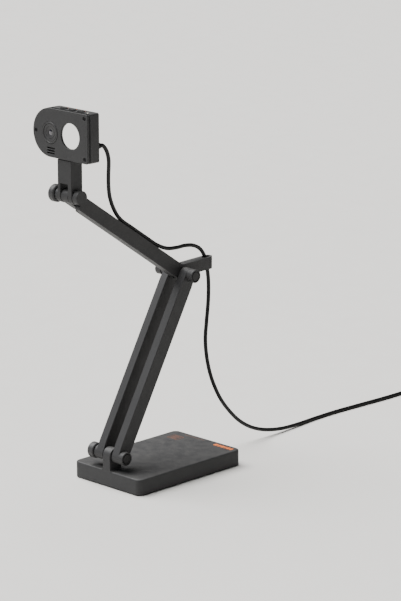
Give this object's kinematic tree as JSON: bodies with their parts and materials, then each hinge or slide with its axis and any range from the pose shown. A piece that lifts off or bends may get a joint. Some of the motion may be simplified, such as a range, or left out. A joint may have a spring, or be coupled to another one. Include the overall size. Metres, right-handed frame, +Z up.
{
  "type": "document camera",
  "caption": "Folding USB document camera: weighted base, two hinged arms, tilting and swivelling D-shaped camera head with a finger hole, and its lead.",
  "frame": {"origin": "centre of the underside of the base, in the plane of its feet", "axes": "+Z up; +X along the hinge axes, to the right as seen from the lens side; the lens looks towards -Y"},
  "size_m": [0.0811, 0.4892, 0.2929],
  "materials": {
    "housing_plastic": "fine-grained moulded ABS, dark grey",
    "arm_plastic": "fine-grained moulded glass-filled nylon, dark grey",
    "knob_plastic": "satin moulded plastic, near black",
    "dark_plastic": "satin moulded plastic, black",
    "gloss_black": "glossy black ring",
    "lens_glass": "coated glass",
    "weight_steel": "sawn mild steel plate",
    "screw_steel": "zinc-plated screw",
    "hinge_steel": "turned steel",
    "foot_rubber": "matt black rubber",
    "cable_rubber": "satin black PVC jacket",
    "circuit_board": "green solder-masked board",
    "light_pipe": "clear frosted light pipe",
    "plug_steel": "nickel-plated sheet steel",
    "plug_insulator": "white insulator"
  },
  "bodies": {
    "base": {"base_shell": "housing_plastic", "base_weight": "weight_steel", "base_cover": "dark_plastic", "foot_front_left": "foot_rubber", "foot_front_right": "foot_rubber", "foot_rear_left": "foot_rubber", "foot_rear_right": "foot_rubber", "cover_screw_front_left": "screw_steel", "cover_screw_front_right": "screw_steel", "cover_screw_rear_left": "screw_steel", "cover_screw_rear_right": "screw_steel", "cable_table_section": "cable_rubber", "cable_coil": "cable_rubber", "coil_tie": "cable_rubber", "cable_tail_section": "cable_rubber", "usb_plug_body": "dark_plastic", "usb_plug_shell": "plug_steel", "usb_plug_tongue": "plug_insulator"},
    "lower_arm": {"lower_arm_left_bar": "arm_plastic", "lower_arm_right_bar": "arm_plastic", "base_hinge_bolt": "hinge_steel", "base_hinge_cap": "dark_plastic", "base_hinge_washer_left": "hinge_steel", "base_hinge_washer_right": "hinge_steel", "base_knob_washer": "hinge_steel", "elbow_bolt": "hinge_steel", "elbow_cap": "dark_plastic", "elbow_nut_washer": "hinge_steel", "elbow_nut": "knob_plastic", "cable_elbow_section": "cable_rubber"},
    "upper_arm": {"upper_arm": "arm_plastic", "cable_clip": "arm_plastic", "wrist_bolt": "hinge_steel", "wrist_knob_washer": "hinge_steel", "cable_arm_section": "cable_rubber"},
    "neck": {"neck": "arm_plastic", "cable_head_section": "cable_rubber"},
    "head": {"head_rear_shell": "housing_plastic", "head_front_cover": "housing_plastic", "head_screw_left": "screw_steel", "head_screw_top": "screw_steel", "head_screw_bottom": "screw_steel", "lens_ring": "gloss_black", "lens_glass": "lens_glass", "lens_barrel": "dark_plastic", "sensor_board": "circuit_board", "indicator_lens": "light_pipe", "cable_gland": "cable_rubber", "swivel_pin": "hinge_steel"},
    "base_knob": {"base_hinge_knob": "knob_plastic"},
    "wrist_knob_body": {"wrist_knob": "knob_plastic"},
    "button_1": {"push_button_1": "dark_plastic"},
    "button_2": {"push_button_2": "dark_plastic"},
    "button_3": {"push_button_3": "dark_plastic"}
  },
  "joints": [
    {"name": "base_hinge", "type": "hinge", "parent": "base", "child": "lower_arm", "pos_m": [0, -0.049, 0.024], "axis": [1, 0, 0], "range_deg": [-35, 45], "deforming": ["cable_table_section"]},
    {"name": "elbow_hinge", "type": "hinge", "parent": "lower_arm", "child": "upper_arm", "pos_m": [0, 0.0236, 0.1527], "axis": [-1, 0, 0], "range_deg": [-80, 75], "deforming": ["cable_elbow_section"]},
    {"name": "wrist_hinge", "type": "hinge", "parent": "upper_arm", "child": "neck", "pos_m": [0, -0.0813, 0.2279], "axis": [1, 0, 0], "range_deg": [-25, 115], "deforming": ["cable_arm_section"]},
    {"name": "head_swivel", "type": "hinge", "parent": "neck", "child": "head", "pos_m": [-0.00815, -0.0813, 0.2555], "axis": [0, 0, 1], "range_deg": [-60, 90], "deforming": ["cable_head_section"]},
    {"name": "base_knob_turn", "type": "hinge", "parent": "lower_arm", "child": "base_knob", "pos_m": [-0.0185, -0.049, 0.024], "axis": [-1, 0, 0], "range_deg": [-90, 90]},
    {"name": "wrist_knob_turn", "type": "hinge", "parent": "upper_arm", "child": "wrist_knob_body", "pos_m": [-0.023, -0.0813, 0.2279], "axis": [-1, 0, 0], "range_deg": [-90, 90]},
    {"name": "button_1_press", "type": "slide", "parent": "head", "child": "button_1", "axis": [0, 0, -1], "range_m": [0, 0.0005], "stiffness_N_per_m": 900, "springref_m": -0.001},
    {"name": "button_2_press", "type": "slide", "parent": "head", "child": "button_2", "axis": [0, 0, -1], "range_m": [0, 0.0005], "stiffness_N_per_m": 900, "springref_m": -0.001},
    {"name": "button_3_press", "type": "slide", "parent": "head", "child": "button_3", "axis": [0, 0, -1], "range_m": [0, 0.0005], "stiffness_N_per_m": 900, "springref_m": -0.001}
  ]
}
